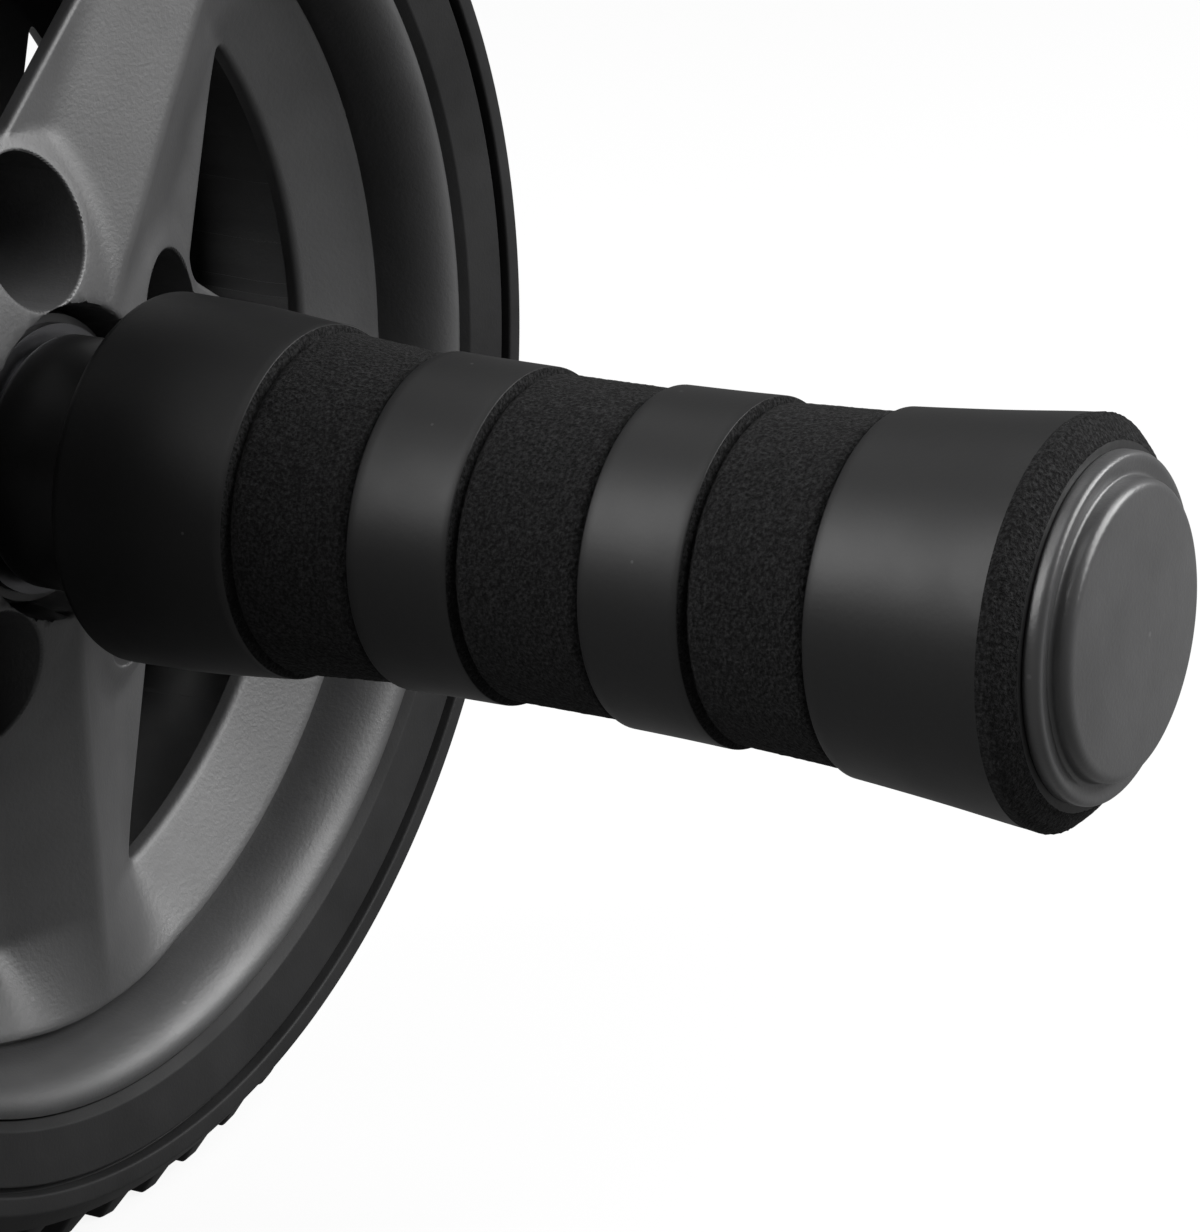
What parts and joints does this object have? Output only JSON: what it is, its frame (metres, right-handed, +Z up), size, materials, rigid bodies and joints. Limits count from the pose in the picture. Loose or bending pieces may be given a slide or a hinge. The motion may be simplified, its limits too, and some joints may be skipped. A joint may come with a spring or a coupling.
{
  "type": "ab wheel roller",
  "caption": "Ab wheel roller: a wide ribbed rubber tyre on a dished, spoked plastic wheel that spins on a steel axle between waisted foam handles with stepped end caps.",
  "frame": {"origin": "centre of the wheel, on the axle's axis", "axes": "+Y along the axle towards the left handle, +X forwards, +Z up"},
  "size_m": [0.181, 0.3076, 0.181],
  "materials": {
    "tread_rubber": "matt moulded rubber",
    "wheel_plastic": "satin moulded plastic, fine grain",
    "bush_plastic": "smooth black bearing plastic",
    "collar_plastic": "satin plastic",
    "cap_plastic": "satin moulded plastic",
    "grip_foam": "closed-cell foam, skinned bands and ground grooves",
    "axle_steel": "zinc-plated steel",
    "screw_steel": "black-oxide steel"
  },
  "bodies": {
    "handles": {"axle_tube": "axle_steel", "thrust_washer_left": "screw_steel", "retaining_ring_left": "screw_steel", "spacer_collar_left": "collar_plastic", "grip_core_left": "collar_plastic", "foam_grip_left": "grip_foam", "end_cap_left": "cap_plastic", "thrust_washer_right": "screw_steel", "retaining_ring_right": "screw_steel", "spacer_collar_right": "collar_plastic", "grip_core_right": "collar_plastic", "foam_grip_right": "grip_foam", "end_cap_right": "cap_plastic"},
    "wheel": {"tyre": "tread_rubber", "half_screws": "screw_steel", "half_nuts": "screw_steel", "wheel_half_left": "wheel_plastic", "hub_bush_left": "bush_plastic", "wheel_half_right": "wheel_plastic", "hub_bush_right": "bush_plastic"}
  },
  "joints": [
    {"name": "wheel_spin", "type": "hinge", "parent": "handles", "child": "wheel", "pos_m": [0, 0, 0], "axis": [0, 1, 0], "continuous": true}
  ]
}
